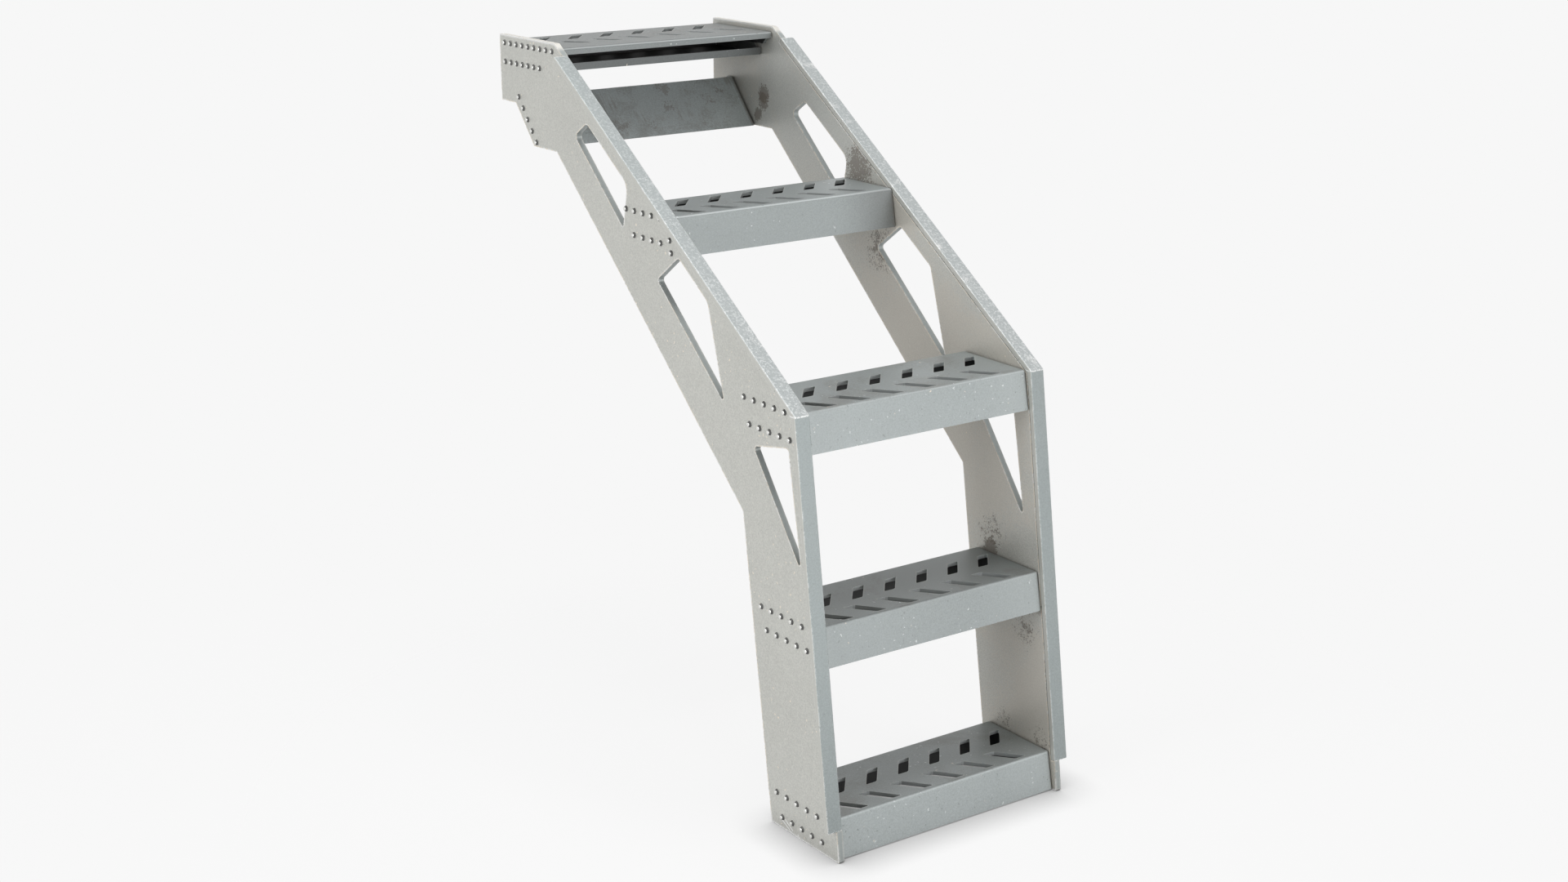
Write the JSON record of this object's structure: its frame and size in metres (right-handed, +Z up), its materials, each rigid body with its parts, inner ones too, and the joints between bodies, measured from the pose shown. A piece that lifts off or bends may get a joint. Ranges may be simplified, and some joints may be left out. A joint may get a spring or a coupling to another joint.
{
  "type": "aircraft boarding stairs",
  "caption": "Open aluminium boarding steps with kinked pierced side plates, slotted folded steps and a boxed head step that hooks to a door sill.",
  "frame": {"origin": "middle of the rear face of the head step, where the stairs bear on the aircraft's door sill", "axes": "+X to the climber's right when facing the stairs, +Y back towards the aircraft, +Z up"},
  "size_m": [0.472, 0.9721, 1.1405],
  "materials": {
    "stringer_aluminium": "worn bead-blasted",
    "cap_aluminium": "worn satin",
    "step_aluminium": "worn satin",
    "panel_aluminium": "stained satin"
  },
  "bodies": {
    "root": {"web_left": "stringer_aluminium", "cap_left": "cap_aluminium", "web_right": "stringer_aluminium", "cap_right": "cap_aluminium", "step_2": "step_aluminium", "step_3": "step_aluminium", "step_4": "step_aluminium", "step_5": "step_aluminium", "deck": "step_aluminium", "tray": "step_aluminium", "kick_panel": "panel_aluminium"}
  },
  "joints": []
}
